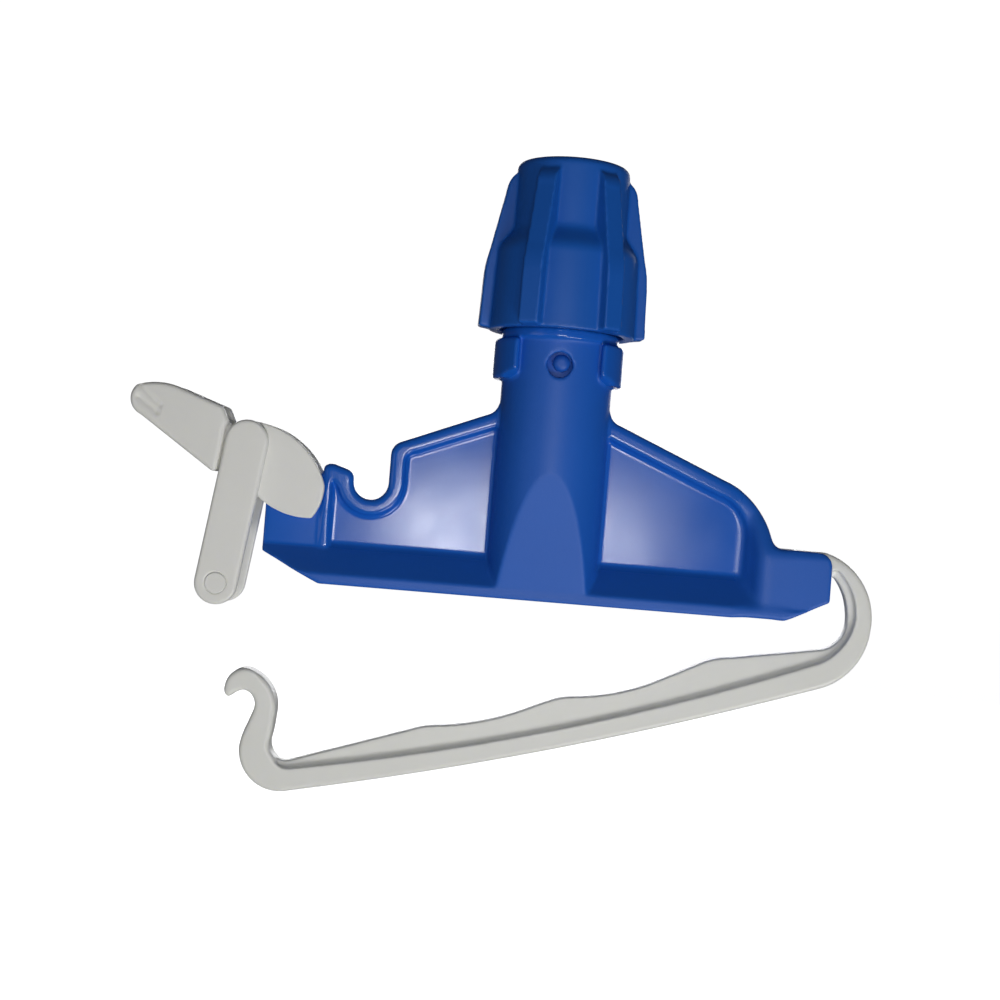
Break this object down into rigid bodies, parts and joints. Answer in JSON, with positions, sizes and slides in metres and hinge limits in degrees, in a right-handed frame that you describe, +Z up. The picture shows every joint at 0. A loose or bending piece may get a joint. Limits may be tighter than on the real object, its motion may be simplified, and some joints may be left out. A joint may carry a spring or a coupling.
{
  "type": "wet mop clamp",
  "caption": "Wide moulded clamp for a wet string mop: pole socket with a ribbed collet nut, hinged wavy clamp bar with a hook, and a side toggle latch.",
  "frame": {"origin": "on the pole axis, on the floor of the pole socket where the pole's end seats", "axes": "+Z up along the pole socket, +X along the jaw towards the bar's hinge, -Y is the front"},
  "size_m": [0.2111, 0.045, 0.1815],
  "materials": {
    "blue_body": "glossy moulded polypropylene, fine texture on the tube",
    "blue_nut": "fine matte moulded texture",
    "blue_sleeve": "satin moulded plastic",
    "white_bar": "satin moulded polypropylene",
    "white_latch": "satin moulded polypropylene"
  },
  "bodies": {
    "body": {"clamp_body": "blue_body", "collet_sleeve": "blue_sleeve", "lever_hinge_pin": "white_latch"},
    "nut": {"grip_nut": "blue_nut"},
    "catch": {"sleeve_catch": "blue_sleeve"},
    "bar_pin": {"bar_hinge_pin": "blue_body"},
    "bar": {"clamp_bar": "white_bar"},
    "lever": {"latch_lever": "white_latch", "link_pivot_pin": "white_latch"},
    "link": {"link_plate_front": "white_latch", "link_plate_rear": "white_latch", "hook_pin": "white_latch"}
  },
  "joints": [
    {"name": "nut_turn", "type": "hinge", "parent": "body", "child": "nut", "pos_m": [0, 0, 0.065], "axis": [0, 0, 1], "range_deg": [0, 360]},
    {"name": "catch_flex", "type": "hinge", "parent": "body", "child": "catch", "pos_m": [0, -0.0126, 0.043], "axis": [1, 0, 0], "range_deg": [0, 10], "stiffness_Nm_per_rad": 0.05},
    {"name": "bar_close", "type": "hinge", "parent": "body", "child": "bar_pin", "pos_m": [0.0715, 0, -0.0195], "axis": [0, 1, 0], "range_deg": [0, 20]},
    {"name": "bar_swing", "type": "hinge", "parent": "bar_pin", "child": "bar", "pos_m": [0.0715, 0, -0.0195], "axis": [0, 1, 0], "range_deg": [-60, 0]},
    {"name": "lever_hinge", "type": "hinge", "parent": "body", "child": "lever", "pos_m": [-0.06915, 0, -0.0093], "axis": [0, 1, 0], "range_deg": [0, 120]},
    {"name": "link_hinge", "type": "hinge", "parent": "lever", "child": "link", "pos_m": [-0.0844, 0, 0.0043], "axis": [0, 1, 0], "range_deg": [-34, 0]}
  ],
  "couplings": [
    {"joint": "link_hinge", "follows": "lever_hinge", "ratio": -0.2833},
    {"joint": "bar_close", "follows": "lever_hinge", "ratio": 0.1666}
  ]
}
